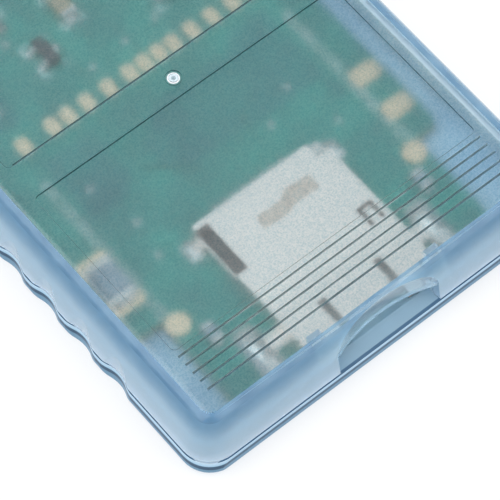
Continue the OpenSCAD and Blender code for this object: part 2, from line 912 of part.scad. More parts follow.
// Feet bent out of the shield's sides
module shield_tabs() {
    foot_z = board_top_z + plate_t;
    for (side = [0, 1]) mirror([side, 0, 0]) {
        span(
            [inner_x, tab_front_y - tab_w / 2, foot_z],
            [pad_x, tab_front_y + tab_w / 2, foot_z + sheet_t]
        );
        span(
            [inner_x, tab_rear_y - tab_w / 4, foot_z],
            [pad_rear_x + sheet_t, tab_rear_y + tab_w / 4, foot_z + sheet_t]
        );
    }
}

module socket_base() {
    color(black_plastic) difference() {
        union() {
            span([-base_x, base_y0, board_top_z], [base_x, base_y1, base_floor_z]);
            span([-base_x, base_y1 - base_wall_t, board_top_z], [base_x, base_y1, base_top_z]);
            span([path_x, base_y0, board_top_z], [base_x, base_y1, base_top_z]);
            span([-base_x, base_y0, board_top_z], [-path_x, base_y0 + 1, pin_z - pin_wire_d / 2 - 0.02]);
        }
        for (i = [0 : 7]) {
            contact_channel(i);
        }
        detect_pocket();
        pin_socket();
    }
}

module contact_channel(i) {
    half = pin_w / 2;
    span(
        [pin_x(i) - half, arm_root_y - eps, board_top_z - eps],
        [pin_x(i) + half, base_y1 + eps, board_top_z + pin_t]
    );
    span(
        [pin_x(i) - half - 0.1, arm_tip_y - 0.9, board_top_z - eps],
        [pin_x(i) + half + 0.1, arm_root_y, base_floor_z + eps]
    );
}

// Spring contact seen from the side, pressed from strip
module socket_contact(i) {
    tip_z = card_z - board_top_z - 0.04;
    color(gold) translate([pin_x(i) - pin_w / 2, 0, board_top_z]) rotate([90, 0, 90])
        linear_extrude(pin_w) polygon([
            [socket_y1 + tail_l, 0], [arm_root_y - 0.1, 0], [arm_tip_y + 0.4, tip_z - pin_t - 0.03],
            [arm_tip_y, tip_z - pin_t], [arm_tip_y - 0.55, tip_z - 0.5],
            [arm_tip_y - 0.7, tip_z - 0.4], [arm_tip_y - 0.1, tip_z], [arm_tip_y + 0.5, tip_z - 0.03],
            [arm_root_y, pin_t], [socket_y1 + tail_l, pin_t]
        ]);
}

module detect_pocket() {
    span([path_x - eps, detect_y0, base_floor_z], [detect_x, detect_y1, base_top_z + eps]);
}

module detect_contact() {
    z0 = base_floor_z + 0.05;
    z1 = base_top_z - 0.1;
    color(gold) translate([0, 0, z0]) linear_extrude(z1 - z0) polygon([
        [detect_x, detect_y1], [detect_x - detect_t, detect_y1], [detect_x - detect_t, detect_y0 + 2.2],
        [path_x - 0.1, detect_y0 + 1.2], [path_x - 0.02, detect_y0 + 0.5], [path_x + 0.08, detect_y0 + 0.56],
        [path_x + 0.02, detect_y0 + 1.2], [detect_x, detect_y0 + 2.14]
    ]);
}

module pin_socket() {
    translate([pin_x0, pin_root_y, pin_foot_z]) cylinder(d = pin_wire_d, h = socket_h);
}

// Slider: a rail beside the card, with a cam block and an arm across its corner
module eject_slider() {
    color(brown_plastic) {
        difference() {
            span([slider_x0, cam_y0, slider_z], [slider_x1, cam_y1, slider_top_z]);
            cam_track();
        }
        span([slider_x0, cam_y1 - eps, slider_z], [slider_x1, arm_y1, rail_floor_z]);
        span([slider_x1 - eps, arm_y0, slider_z], [arm_end_x, arm_y1, rail_floor_z]);
        span([-path_x + 0.1, arm_y0, slider_z], [arm_end_x, arm_y1, slider_top_z]);
    }
}

// Closed track round a small heart, with the hairpin running in its outer leg
module cam_track() {
    z0 = slider_top_z - track_depth;
    leg_y0 = pin_tip_y - slider_travel - pin_wire_d;
    leg_y1 = pin_tip_y + pin_wire_d;
    inner_leg_x = track_x0 + track_w + heart_w;
    track_x1 = inner_leg_x + track_w;
    translate([0, 0, z0]) linear_extrude(track_depth + eps) difference() {
        translate([track_x0, leg_y0]) square([track_x1 - track_x0, leg_y1 - leg_y0]);
        polygon([
            [track_x0 + track_w, leg_y0 + 1.2], [track_x0 + track_w + heart_w / 2, leg_y0 + 1.4],
            [inner_leg_x, leg_y0 + 1.2], [inner_leg_x + 0.05, leg_y0 + 1.2 + heart_l],
            [inner_leg_x - heart_w / 2, leg_y1 - 0.5], [track_x0 + track_w, leg_y0 + 1.2 + heart_l]
        ]);
    }
}

// Hairpin: both ends bent down, one into the base and one into the track
module cam_pin() {
    r = pin_wire_d / 2;
    tip_z = slider_top_z - track_depth + pin_tip_gap;
    color(sheet_metal) {
        translate([pin_x0, pin_root_y, pin_foot_z]) cylinder(r = r, h = pin_z - pin_foot_z);
        translate([pin_x0, pin_root_y, pin_z]) sphere(r = r);
        translate([pin_x0, pin_root_y, pin_z]) rotate([-90, 0, 0])
            cylinder(r = r, h = pin_tip_y - pin_root_y);
        translate([pin_x0, pin_tip_y, pin_z]) sphere(r = r);
        translate([pin_x0, pin_tip_y, tip_z]) cylinder(r = r, h = pin_z - tip_z);
    }
}

// Coil spring swept as a tube along a helix
module eject_spring() {
    turn_steps = 12;
    sides = 6;
    wire_r = spring_wire_d / 2;
    coil_r = spring_d / 2 - wire_r;
    length = spring_y1 - spring_y0 - 2 * (wire_r + spring_seat_gap);
    steps = spring_turns * turn_steps;
    start_y = spring_y0 + wire_r + spring_seat_gap;
    function centre(k) = [
        spring_x + coil_r * cos(360 * k / turn_steps),
        start_y + length * k / steps,
        spring_z + coil_r * sin(360 * k / turn_steps)
    ];
    function ring(k) = [
        for (j = [0 : sides - 1])
            let (a = 360 * j / sides, c = 360 * k / turn_steps)
            centre(k) + wire_r * [cos(a) * cos(c), sin(a), cos(a) * sin(c)]
    ];
    points = [for (k = [0 : steps]) each ring(k)];
    skin = [
        for (k = [0 : steps - 1], j = [0 : sides - 1])
            let (a = k * sides + j, b = k * sides + (j + 1) % sides)
            each [[a, b, b + sides], [a, b + sides, a + sides]]
    ];
    cap0 = [for (j = [0 : sides - 1]) sides - 1 - j];
    cap1 = [for (j = [0 : sides - 1]) steps * sides + j];
    color(sheet_metal) polyhedron(points, concat([cap0, cap1], skin));
}

// Solder pillows over the shield's feet
module solder_joints() {
    inset = 0.3;
    color(tin) for (side = [0, 1]) mirror([side, 0, 0]) difference() {
        union() {
            solder_pillow(pad_x, tab_front_y, pad_front_w - inset, pad_front_l - inset, solder_front_h);
            solder_pillow(pad_rear_x, tab_rear_y, pad_rear_w - inset, pad_rear_l - inset, solder_rear_h);
        }
        shield_tabs();
    }
}

// Low dome with a rectangular foot: two round backs crossed
module solder_pillow(x, y, w, l, h) {
    z = board_top_z + plate_t;
    r_w = (w * w / 4 + h * h) / (2 * h);
    r_l = (l * l / 4 + h * h) / (2 * h);
    intersection() {
        translate([x, y, z + h - r_w]) rotate([90, 0, 0])
            cylinder(r = r_w, h = l, center = true, $fn = 160);
        translate([x, y, z + h - r_l]) rotate([0, 90, 0])
            cylinder(r = r_l, h = w, center = true, $fn = 360);
        span([x - w / 2, y - l / 2, z], [x + w / 2, y + l / 2, z + h]);
    }
}

top_shell();
bottom_shell();
circuit_board();
for (i = [1 : 8]) {
    console_contact(i - 1);
    socket_contact(i - 1);
}
programming_pads();
locating_pads();
side_pads();
socket_pads();
socket_shield();
socket_base();
detect_contact();
eject_slider();
eject_spring();
cam_pin();
solder_joints();
side_fuse();
left_capacitor();
right_capacitor();
transistor();
voltage_regulator();
input_capacitor();
output_capacitor();
level_shifter();
pull_up_resistors();
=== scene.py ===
import math

import bmesh
import bpy
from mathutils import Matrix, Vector


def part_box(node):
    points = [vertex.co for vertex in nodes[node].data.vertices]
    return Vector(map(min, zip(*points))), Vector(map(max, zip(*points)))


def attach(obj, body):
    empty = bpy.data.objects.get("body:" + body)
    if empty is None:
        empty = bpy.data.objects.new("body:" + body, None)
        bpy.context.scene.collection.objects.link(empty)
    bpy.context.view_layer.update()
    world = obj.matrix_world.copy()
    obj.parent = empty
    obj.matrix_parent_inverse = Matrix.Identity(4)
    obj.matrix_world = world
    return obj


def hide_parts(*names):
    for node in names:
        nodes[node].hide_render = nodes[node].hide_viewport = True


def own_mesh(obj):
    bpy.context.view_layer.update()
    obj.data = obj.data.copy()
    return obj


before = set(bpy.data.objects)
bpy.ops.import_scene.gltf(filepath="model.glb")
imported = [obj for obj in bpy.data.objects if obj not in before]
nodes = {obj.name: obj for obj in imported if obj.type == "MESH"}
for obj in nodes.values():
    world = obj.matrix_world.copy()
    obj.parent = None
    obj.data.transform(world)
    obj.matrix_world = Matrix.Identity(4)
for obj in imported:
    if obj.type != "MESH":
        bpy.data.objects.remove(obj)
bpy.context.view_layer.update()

BODY = "adapter"
MM = 0.001

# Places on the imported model, in metres
case_lo, case_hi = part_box("top_shell")
BASE_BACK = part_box("socket_base")[1].y
BOARD_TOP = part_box("circuit_board")[1].z
SHIELD_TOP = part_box("socket_shield")[1].z
CASE_TOP = case_hi.z
PARTING_Z = case_lo.z

# Sizes of the case that its surfaces are told apart by
WALL_LEAN = 1.05 * MM
EDGE_R = 2.1 * MM
CORNER_R = 3 * MM
ROOF_T = 1.3 * MM
SEAM_H = 0.25 * MM
PANEL_MARGIN = 3.85 * MM
PANEL_DEPTH = 0.2 * MM
NOTCH_X = 5.8 * MM
NOTCH_Y = case_lo.y + 3.0 * MM

# Camera: fitted to the straight edges of the photograph
FOCAL_PIXELS = 3364.49
PHOTO_PIXELS = 500
SENSOR_WIDTH = 36.0
AZIMUTH = math.radians(-39.502)
ELEVATION = math.radians(61.538)
TARGET = Vector((-3.226, -16.277, 0.0)) * MM
DISTANCE = 303.753 * MM
CLIP_START = 0.01
CLIP_END = 20.0


def make_camera():
    back = Vector((
        math.sin(AZIMUTH) * math.cos(ELEVATION),
        -math.cos(AZIMUTH) * math.cos(ELEVATION),
        math.sin(ELEVATION),
    ))
    data = bpy.data.cameras.new("camera")
    data.sensor_width = SENSOR_WIDTH
    data.lens = SENSOR_WIDTH * FOCAL_PIXELS / PHOTO_PIXELS
    data.clip_start = CLIP_START
    data.clip_end = CLIP_END
    camera = bpy.data.objects.new("camera", data)
    camera.location = TARGET + back * DISTANCE
    camera.rotation_mode = "QUATERNION"
    camera.rotation_quaternion = (-back).to_track_quat("-Z", "Y")
    bpy.context.scene.collection.objects.link(camera)
    bpy.context.scene.camera = camera


# Materials


def rgb(red, green, blue):
    """A colour written as a screen shows it, 0 to 255, as the linear value that a shader takes."""
    def linear(c):
        c /= 255
        return c / 12.92 if c <= 0.04045 else ((c + 0.055) / 1.055) ** 2.4
    return (linear(red), linear(green), linear(blue), 1.0)


# Values that most of a noise lies between, and how rough its small steps are
NOISE_LOW = 0.35
NOISE_HIGH = 0.65
NOISE_ROUGHNESS = 0.55


class Tree:
    """A tree of shader nodes, with short ways to add and link them."""

    def __init__(self, tree):
        self.tree = tree

    def node(self, kind, **inputs):
        """A node with its inputs set. An underscore stands for the space in an input's name."""
        made = self.tree.nodes.new(kind)
        for name, value in inputs.items():
            made.inputs[name.replace("_", " ")].default_value = value
        return made

    def link(self, source, target):
        self.tree.links.new(source, target)

    def maths(self, operation, first, second=None):
        """Result of a sum on a socket and on a number, a second socket or nothing."""
        made = self.node("ShaderNodeMath")
        made.operation = operation
        self.link(first, made.inputs[0])
        if isinstance(second, float):
            made.inputs[1].default_value = second
        elif second is not None:
            self.link(second, made.inputs[1])
        return made.outputs[0]

    def spread(self, source, low, high):
        """The low value where the source is 0, and the high one where it is 1."""
        made = self.node("ShaderNodeMapRange", To_Min=low, To_Max=high)
        self.link(source, made.inputs["Value"])
        return made.outputs["Result"]

    def rise(self, source, low, high):
        """0 where the source has the low value, and 1 where it has the high one."""
        made = self.node("ShaderNodeMapRange", From_Min=low, From_Max=high)
        self.link(source, made.inputs["Value"])
        return made.outputs["Result"]

    def bands(self, source, tones):
        """Colour by the source's value, from pairs of a value and a colour."""
        made = self.node("ShaderNodeValToRGB")
        steps = made.color_ramp.elements
        while len(steps) < len(tones):
            steps.new(0.5)
        for step, (position, colour) in zip(steps, tones):
            step.position = position
            step.color = colour
        self.link(source, made.inputs["Fac"])
        return made.outputs["Color"]

    def mixed(self, share, first, second):
        """The first shader where the share is 0, and the second where it is 1."""
        made = self.node("ShaderNodeMixShader")
        for source, target in zip((share, first, second), made.inputs):
            self.link(source, target)
        return made.outputs[0]


class Material(Tree):
    """A node material round one Principled shader, with patterns that follow the object."""

    def __init__(self, name, colour, roughness, metallic=0.0):
        self.data = bpy.data.materials.new(name)
        self.data.use_nodes = True
        super().__init__(self.data.node_tree)
        self.shader = self.tree.nodes["Principled BSDF"]
        self.output = self.tree.nodes["Material Output"]
        self.set("Base Color", colour)
        self.set("Roughness", roughness)
        self.set("Metallic", metallic)
        self.place = self.node("ShaderNodeTexCoord").outputs["Object"]

    def set(self, socket, value):
        self.shader.inputs[socket].default_value = value

    def paint(self, source):
        self.link(source, self.shader.inputs["Base Color"])

    def along(self, axis):
        """Place along X, Y or Z, in metres."""
        parts = self.node("ShaderNodeSeparateXYZ")
        self.link(self.place, parts.inputs[0])
        return parts.outputs[axis]

    def noise(self, per_mm, detail=3.0):
        scale = per_mm / MM
        made = self.node("ShaderNodeTexNoise", Scale=scale, Detail=detail, Roughness=NOISE_ROUGHNESS)
        self.link(self.place, made.inputs["Vector"])
        return made.outputs["Fac"]

    def vary_colour(self, per_mm, first, second, detail=3.0):
        tones = [(NOISE_LOW, first), (NOISE_HIGH, second)]
        self.paint(self.bands(self.noise(per_mm, detail), tones))

    def vary_roughness(self, per_mm, low, high):
        self.link(self.spread(self.noise(per_mm), low, high), self.shader.inputs["Roughness"])

    def bump(self, source, height):
        made = self.node("ShaderNodeBump", Distance=height)
        self.link(source, made.inputs["Height"])
        self.link(made.outputs["Normal"], self.shader.inputs["Normal"])

    def let_lamps_through(self, tint):
        """Lamps reach what is behind the plastic, dimmed by its tint."""
        shadow_ray = self.node("ShaderNodeLightPath").outputs["Is Shadow Ray"]
        clear = self.node("ShaderNodeBsdfTransparent", Color=tint)
        surface = self.mixed(shadow_ray, self.shader.outputs[0], clear.outputs[0])
        self.link(surface, self.output.inputs["Surface"])


# The case's plastic: nearly clear where it is thin, milky blue in its thick walls
PLASTIC_IOR = 1.5
SKIN = rgb(228, 241, 245)
MILK = rgb(140, 176, 202)
# What the plastic leaves of a lamp's light, from its thin skin to its thick walls
THIN_TINT = rgb(236, 245, 250)
INNER_TINT = rgb(214, 230, 240)
LOWER_TINT = rgb(200, 222, 234)
THICK_TINT = rgb(196, 218, 232)
# Colour of the plastic in the shade of the seam
SEAM_SHADE = rgb(84, 118, 148)


def plastic(name, colour, roughness, clearness, lamp_tint):
    m = Material(name, colour, roughness)
    m.set("IOR", PLASTIC_IOR)
    m.set("Transmission Weight", clearness)
    m.let_lamps_through(lamp_tint)
    return m


def polished_face():
    """Label face of the case: clear blue plastic with a polished skin."""
    m = plastic("face_polished", SKIN, roughness=0.05, clearness=1.0, lamp_tint=THIN_TINT)
    m.bump(m.noise(per_mm=0.35, detail=2.0), height=0.02 * MM)
    return m.data


def frosted_ceiling():
    """Underside of the label face: spark-eroded, so that it blurs what lies behind it."""
    m = plastic("face_frosted", SKIN, roughness=0.3, clearness=0.97, lamp_tint=THIN_TINT)
    m.vary_colour(7.0, rgb(176, 206, 216), rgb(255, 255, 255))
    m.vary_roughness(3.0, 0.27, 0.38)
    m.bump(m.noise(per_mm=5.0, detail=2.0), height=0.012 * MM)
    return m.data


# Painted highlight and shade on the outer walls by height, from the parting line at 0 to the label face
# at 1
WALL_PAINTED_LIGHT_TONES = [
    (0.0, rgb(216, 234, 246)),
    (0.12, rgb(202, 226, 242)),
    (0.26, rgb(180, 209, 227)),
    (0.6, rgb(158, 194, 215)),
    (1.0, rgb(88, 138, 172)),
]


def milky_wall():
    """Outside of the thick walls, where the light scatters, with painted light: a painted highlight near
    the parting line, painted shade towards the label face.
    """
    m = plastic("wall_milky", MILK, roughness=0.25, clearness=0.45, lamp_tint=THICK_TINT)
    cloud = m.spread(m.noise(per_mm=0.3, detail=2.0), -0.09, 0.09)
    height = m.rise(m.along("Z"), PARTING_Z, CASE_TOP)
    # Painted highlight near the parting line, painted shade near the label face
    m.paint(m.bands(m.maths("ADD", height, cloud), WALL_PAINTED_LIGHT_TONES))
    m.set("Specular IOR Level", 0.35)
    m.set("Coat Weight", 0.3)
    m.set("Coat Roughness", 0.05)
    m.bump(m.noise(per_mm=0.6), height=0.06 * MM)
    return m.data


# Painted shade and highlight on the lower shell's outside by height, from the table at 0 to the parting
# line at 1
LOWER_PAINTED_LIGHT_TONES = [
    (0.0, rgb(112, 150, 176)),
    (0.4, rgb(100, 140, 168)),
    (0.46, rgb(26, 66, 96)),
    (0.68, rgb(34, 76, 106)),
    (0.75, rgb(158, 196, 222)),
    (1.0, rgb(184, 212, 232)),
]


def lower_wall():
    """Outside of the lower shell: greyer as painted shade, as it faces the table, with a dark band of
    painted shade and a painted highlight above it.
    """
    m = plastic("wall_lower", MILK, roughness=0.3, clearness=0.0, lamp_tint=THICK_TINT)
    # Painted shade low down and in a dark band, painted highlight under the parting line
    m.paint(m.bands(m.rise(m.along("Z"), 0.0, PARTING_Z), LOWER_PAINTED_LIGHT_TONES))
    m.set("Specular IOR Level", 0.15)
    return m.data


def inner_wall(name, colour, first, second, roughness, clearness, lamp_tint):
    """Inner face of a wall, spark-eroded, so that it scatters the light."""
    m = plastic(name, colour, roughness, clearness, lamp_tint)
    m.vary_colour(0.3, first, second, detail=1.0)
    m.bump(m.noise(per_mm=5.0, detail=2.0), height=0.01 * MM)
    return m.data


def edge_painted_shade():
    """Upper part of the round edge, between the clear face and the milky wall, with painted shade: darker
    blue than both.
    """
    m = plastic("edge_painted_shade", rgb(112, 156, 186), roughness=0.12, clearness=0.55, lamp_tint=THIN_TINT)
    m.vary_colour(0.3, rgb(100, 146, 178), rgb(126, 168, 196), detail=1.0)
    m.bump(m.noise(per_mm=0.6), height=0.04 * MM)
    return m.data


def notch_plastic():
    """Plastic round the notch, thin enough to show the socket's mouth through it."""
    m = plastic("notch_plastic", rgb(176, 206, 224), roughness=0.12, clearness=0.8, lamp_tint=THIN_TINT)
    m.bump(m.noise(per_mm=0.5, detail=1.0), height=0.02 * MM)
    return m.data


# Width of the shade along the rim's outer edge, and how softly it and the shelf end
RIM_SHADE_W = 0.3 * MM
RIM_BLUR = 0.05 * MM
SHELF_BLUR = 0.02 * MM


def rim_top():
    """Top of the lower shell's rim: pale, a plain shelf in the notch, and in shade at the seam."""
    m = plastic("rim_top", MILK, roughness=0.3, clearness=0.3, lamp_tint=THICK_TINT)
    off_x = m.maths("ABSOLUTE", m.along("X"))
    off_y = m.maths("ABSOLUTE", m.along("Y"))
    beside_notch = m.rise(off_x, NOTCH_X - SHELF_BLUR, NOTCH_X)
    shelf = m.bands(beside_notch, [(0.0, rgb(168, 198, 216)), (1.0, rgb(222, 236, 246))])
    out_x = m.maths("SUBTRACT", off_x, case_hi.x - RIM_SHADE_W)
    out_y = m.maths("SUBTRACT", off_y, case_hi.y - RIM_SHADE_W)
    mix = m.node("ShaderNodeMix")
    mix.data_type = "RGBA"
    m.link(m.rise(m.maths("MAXIMUM", out_x, out_y), 0.0, RIM_BLUR), mix.inputs["Factor"])
    m.link(shelf, mix.inputs["A"])
    mix.inputs["B"].default_value = SEAM_SHADE
    m.paint(mix.outputs["Result"])
    return m.data


def groove_shade():
    """Cut faces of the grooves and steps: rougher than the face, and darker with painted shade."""
    m = plastic("groove_painted_shade", rgb(36, 78, 88), roughness=0.4, clearness=0.3, lamp_tint=THIN_TINT)
    m.vary_colour(2.0, rgb(28, 72, 80), rgb(52, 92, 102))
    return m.data


def two_tone(name, colour, roughness, per_mm, first, second):
    """An opaque material whose colour drifts between two tones."""
    m = Material(name, colour, roughness)
    m.vary_colour(per_mm, first, second)
    return m.data


def solder_mask():
    """Top and underside of the board: green lacquer with a faint cloudiness."""
    m = Material("solder_mask", rgb(0, 120, 106), roughness=0.32)
    m.vary_colour(0.25, rgb(0, 112, 106), rgb(0, 136, 122))
    m.vary_roughness(2.0, 0.26, 0.4)
    m.bump(m.noise(per_mm=4.0), height=0.004 * MM)
    return m.data


def laminate():
    """Sawn edge of the board."""
    m = Material("laminate", rgb(170, 170, 120), roughness=0.7)
    m.vary_colour(3.0, rgb(150, 156, 104), rgb(186, 184, 140))
    m.bump(m.noise(per_mm=9.0), height=0.02 * MM)
    return m.data


def masked_pour():
    """Wide copper areas under the lacquer, which look greyer."""
    m = Material("masked_pour", rgb(4, 108, 106), roughness=0.32)
    m.vary_colour(0.25, rgb(0, 96, 98), rgb(6, 120, 114))
    m.bump(m.noise(per_mm=3.0), height=0.004 * MM)
    return m.data


def gold():
    """Plated contacts and pads."""
    m = Material("gold", rgb(248, 210, 172), roughness=0.32, metallic=1.0)
    m.vary_colour(4.0, rgb(255, 236, 212), rgb(222, 178, 136))
    m.vary_roughness(3.0, 0.22, 0.42)
    m.bump(m.noise(per_mm=7.0), height=0.004 * MM)
    return m.data


def tin():
    """Solder, uneven where it froze."""
    m = Material("tin", rgb(212, 206, 202), roughness=0.28, metallic=1.0)
    m.vary_colour(2.4, rgb(232, 226, 222), rgb(178, 174, 172))
    m.vary_roughness(2.5, 0.18, 0.42)
    m.bump(m.noise(per_mm=3.0), height=0.03 * MM)
    return m.data


def shield_steel():
    """Rolled, plated sheet, with its fine grain across the socket."""
    m = Material("shield_steel", rgb(226, 230, 230), roughness=0.42, metallic=0.85)
    stretch = m.node("ShaderNodeMapping", Scale=(1.0, 14.0, 1.0))
    m.link(m.place, stretch.inputs["Vector"])
    lines = m.node("ShaderNodeTexNoise", Scale=0.8 / MM, Detail=4.0)
    m.link(stretch.outputs["Vector"], lines.inputs["Vector"])
    grain = lines.outputs["Fac"]
    m.paint(m.bands(grain, [(0.3, rgb(246, 230, 222)), (0.7, rgb(230, 216, 208))]))
    m.link(m.spread(grain, 0.34, 0.5), m.shader.inputs["Roughness"])
    m.bump(grain, height=0.006 * MM)
    return m.data


def spring_steel():
    """Bright drawn wire of the spring and the pin."""
    m = Material("spring_steel", rgb(206, 208, 210), roughness=0.25, metallic=1.0)
    m.vary_colour(4.0, rgb(214, 216, 218), rgb(184, 188, 190))
    m.vary_roughness(6.0, 0.18, 0.34)
    return m.data


def moulded(name, dark, pale, grain_per_mm=5.0):
    """Opaque moulding compound or fired ceramic."""
    m = Material(name, dark, roughness=0.5)
    m.vary_colour(0.8, dark, pale)
    m.vary_roughness(3.0, 0.4, 0.6)
    m.bump(m.noise(grain_per_mm), height=0.008 * MM)
    return m.data


# Tones of the socket's moulding, from dark to pale
MOULDING_TONES = [
    (0.0, rgb(66, 54, 50)),
    (0.3, rgb(96, 80, 72)),
    (0.7, rgb(176, 168, 160)),
    (1.0, rgb(188, 182, 176)),
]
# Half width of its pale middle, length of its pale back corner, and how softly they end
PALE_X = 4.7 * MM
PALE_BACK_L = 3.0 * MM
PALE_BLUR = 0.2 * MM


def socket_moulding():
    """Moulding of the socket: dark brown, and pale in its middle and in its right-hand back corner."""
    m = Material("socket_moulding", rgb(80, 66, 60), roughness=0.5)
    right = m.rise(m.along("X"), 0.0, PALE_BLUR)
    back = m.rise(m.along("Y"), BASE_BACK - PALE_BACK_L, BASE_BACK - PALE_BACK_L + PALE_BLUR)
    middle = m.rise(m.maths("ABSOLUTE", m.along("X")), PALE_X, PALE_X - PALE_BLUR)
    pale = m.maths("MAXIMUM", m.maths("MULTIPLY", right, back), middle)
    drift = m.spread(m.noise(per_mm=5.0), 0.0, 0.3)
    m.paint(m.bands(m.maths("ADD", pale, drift), MOULDING_TONES))
    m.vary_roughness(5.0, 0.42, 0.58)
    return m.data


FACE_OUT = polished_face()
FACE_IN = frosted_ceiling()
WALL_OUT = milky_wall()
# Inside of the lower shell, with its board seats and locating pins
WALL_IN = inner_wall(
    "wall_frosted", rgb(176, 206, 224), rgb(162, 196, 218), rgb(190, 216, 230),
    roughness=0.4, clearness=0.15, lamp_tint=LOWER_TINT,
)
GROOVE_PAINTED_SHADE = groove_shade()
# Back of the seam groove, with painted shade along the parting line
SEAM = two_tone("seam_shade", rgb(92, 126, 154), 0.5, 0.6, SEAM_SHADE, rgb(104, 138, 164))
LOWER_OUT = lower_wall()
# Painted light: a pale, lit copy of the upper shell's inside, on its far and right-hand walls, where
# light comes in through them, and on the ribs
WALL_PAINTED_LIGHT = inner_wall(
    "wall_painted_light", rgb(240, 248, 252), rgb(234, 244, 250), rgb(246, 251, 254),
    roughness=0.35, clearness=0.1, lamp_tint=INNER_TINT,
)
# Painted shade: a dark blue copy of the upper shell's inside, at the slot end and on the left
WALL_PAINTED_SHADE = inner_wall(
    "wall_painted_shade", rgb(136, 178, 208), rgb(126, 170, 202), rgb(148, 188, 214),
    roughness=0.35, clearness=0.3, lamp_tint=INNER_TINT,
)
NOTCH = notch_plastic()
EDGE_PAINTED_SHADE = edge_painted_shade()
RIM_TOP = rim_top()
# Plastic that went white where the sprue was twisted off, and its greyer middle
GATE_WHITE = two_tone("gate_white", rgb(246, 248, 250), 0.35, 6.0, rgb(250, 251, 252), rgb(225, 230, 235))
GATE_CORE = two_tone("gate_core", rgb(176, 184, 190), 0.4, 8.0, rgb(170, 178, 186), rgb(196, 202, 208))
# Painted highlight: a pale strip beside a step, where the polished arris gathers light
STEP_HIGHLIGHT = two_tone("step_highlight", rgb(170, 204, 208), 0.3, 1.5, rgb(150, 190, 194), rgb(196, 220, 224))
MASK = solder_mask()
LAMINATE = laminate()
# Copper under the lacquer: tracks, wide areas, and the patchy strips beside the socket
COPPER = two_tone("masked_copper", rgb(22, 118, 108), 0.3, 0.6, rgb(12, 112, 102), rgb(34, 126, 116))
POUR = masked_pour()
STRIP = two_tone("masked_strip", rgb(84, 136, 128), 0.3, 1.3, rgb(16, 118, 106), rgb(150, 168, 162))
GOLD = gold()
TIN = tin()
STEEL = shield_steel()
SPRING = spring_steel()
SOCKET = socket_moulding()
BROWN = moulded("brown_moulding", rgb(98, 78, 70), rgb(116, 94, 84))
RESIN = moulded("package_resin", rgb(38, 38, 42), rgb(54, 54, 58), 8.0)
TAN_CERAMIC = moulded("tan_ceramic", rgb(150, 132, 108), rgb(168, 150, 124), 9.0)
GREY_CERAMIC = moulded("grey_ceramic", rgb(116, 128, 138), rgb(144, 156, 164), 9.0)
# Print on the board and on the shield
WHITE_INK = two_tone("white_ink", rgb(224, 230, 226), 0.6, 1.5, rgb(224, 230, 226), rgb(206, 216, 210))
STAMP_INK = two_tone("stamp_ink", rgb(176, 152, 138), 0.6, 1.5, rgb(176, 152, 138), rgb(212, 192, 178))


# Dressing of the CAD nodes


# Angles up to which an edge is smoothed: on shells and contacts, joints, and drops and wire
SMOOTH = 32
JOINT_SMOOTH = 50
ROUND_SMOOTH = 60


def smooth(obj, degrees=SMOOTH):
    mesh = obj.data
    mesh.polygons.foreach_set("use_smooth", [True] * len(mesh.polygons))
    mesh.set_sharp_from_angle(angle=math.radians(degrees))


def dress(name, materials, choose=None):
    """Puts the materials on a CAD node; choose(centre, normal) gives a face's material."""
    obj = nodes[name]
    obj.data.materials.clear()
    for m in materials:
        obj.data.materials.append(m)
    for face in obj.data.polygons:
        face.material_index = materials.index(choose(face.center, face.normal)) if choose else 0
    return obj


# A normal's rise on a level face, on the case's round upper edge, on the board's two sides
# and, at most, on the side of a step
LEVEL = 0.97
UPPER_EDGE = 0.75
BOARD_SIDE = 0.7
STEP_SIDE = 0.3
# Slack in a face's height, and how deep a face may lie in the label face and in the outside
TOUCH = 0.01 * MM
CEILING_SLACK = 0.05 * MM
FACE_DEPTH = 0.35 * MM
WALL_SKIN = 0.75 * MM
# Extent of the label face, its grooves and the depth below which they get painted shade
FACE_X = case_hi.x - 3.8 * MM
FACE_Y = case_hi.y - 3.8 * MM
GROOVES_FROM = -28.1 * MM
GROOVES_TO = -23.4 * MM
GROOVE_SHADE = 0.15 * MM
# Where the inside gets painted shade in dark blue, but for the ribs round the socket's mouth
PAINTED_SHADE_X = case_lo.x + 4 * MM
PAINTED_SHADE_Y = case_lo.y + 4 * MM
RIBS_X = 9 * MM
RIBS_Y = case_lo.y + 1.85 * MM
NOTCH_SIDE = NOTCH_X + 0.1 * MM
# Where the metal caps of a chip part begin, as a share of its half length
CAP_FROM = 0.6


def wall_inset(z):
    """How far the outside of the case stands in from its widest outline at a height."""
    rise = CASE_TOP - PARTING_Z
    round_z = CASE_TOP - EDGE_R
    lean = WALL_LEAN * (min(max(z, PARTING_Z), round_z) - PARTING_Z) / rise
    if z <= round_z:
        return lean
    turn = EDGE_R * math.hypot(rise, WALL_LEAN) / rise
    return lean + turn - math.sqrt(max(EDGE_R ** 2 - (z - round_z) ** 2, 0.0))


def outside(centre):
    """True on the outer faces of the case."""
    inset = wall_inset(centre.z) + WALL_SKIN
    x, y = abs(centre.x), abs(centre.y)
    corner = Vector((x - (case_hi.x - CORNER_R), y - (case_hi.y - CORNER_R)))
    if corner.x > 0 and corner.y > 0:
        return corner.length > CORNER_R - inset
    return x > case_hi.x - inset or y > case_hi.y - inset


def label_face(centre, normal):
    """Material inside the label face: painted shade on the steps round the panels and low in the grooves.
    """
    grooved = GROOVES_FROM < centre.y < GROOVES_TO
    step = abs(normal.z) < STEP_SIDE and not grooved
    low = centre.z < CASE_TOP - GROOVE_SHADE and grooved
    return GROOVE_PAINTED_SHADE if step or low else FACE_OUT


def inner_face(centre):
    """Material inside the upper shell, below its ceiling: painted shade at the slot end and on the left,
    painted light elsewhere.
    """
    rib = abs(centre.x) < RIBS_X and RIBS_Y < centre.y < PAINTED_SHADE_Y
    near = centre.x < PAINTED_SHADE_X or centre.y < PAINTED_SHADE_Y
    return WALL_PAINTED_SHADE if near and not rib else WALL_PAINTED_LIGHT


